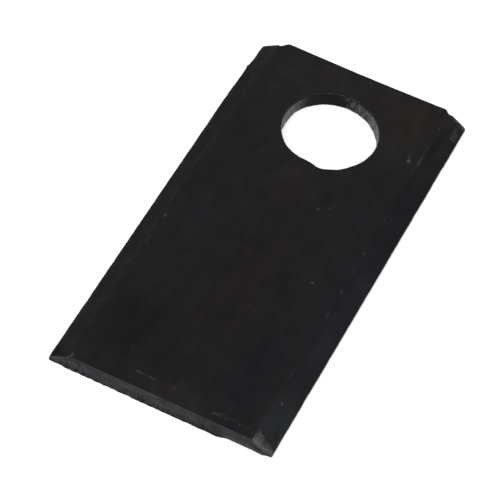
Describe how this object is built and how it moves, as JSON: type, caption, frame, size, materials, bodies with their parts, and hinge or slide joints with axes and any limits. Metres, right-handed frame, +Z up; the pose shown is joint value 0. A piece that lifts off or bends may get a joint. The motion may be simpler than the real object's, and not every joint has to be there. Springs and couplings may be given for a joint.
{
  "type": "rotary mower blade",
  "caption": "Flat steel mower knife: bevelled bar sheared to length, cutting bevels on both long edges, punched mounting hole near one end.",
  "frame": {"origin": "middle of the flat underside, at the centre of the bounding box", "axes": "+Y along the bar towards the hole, +Z up from the underside to the bevelled face, +X across the bar"},
  "size_m": [0.048, 0.0966, 0.0035],
  "materials": {
    "mill_scale_steel": "dark rolled scale with bare sheared ends"
  },
  "bodies": {
    "root": {"blade": "mill_scale_steel"}
  },
  "joints": []
}
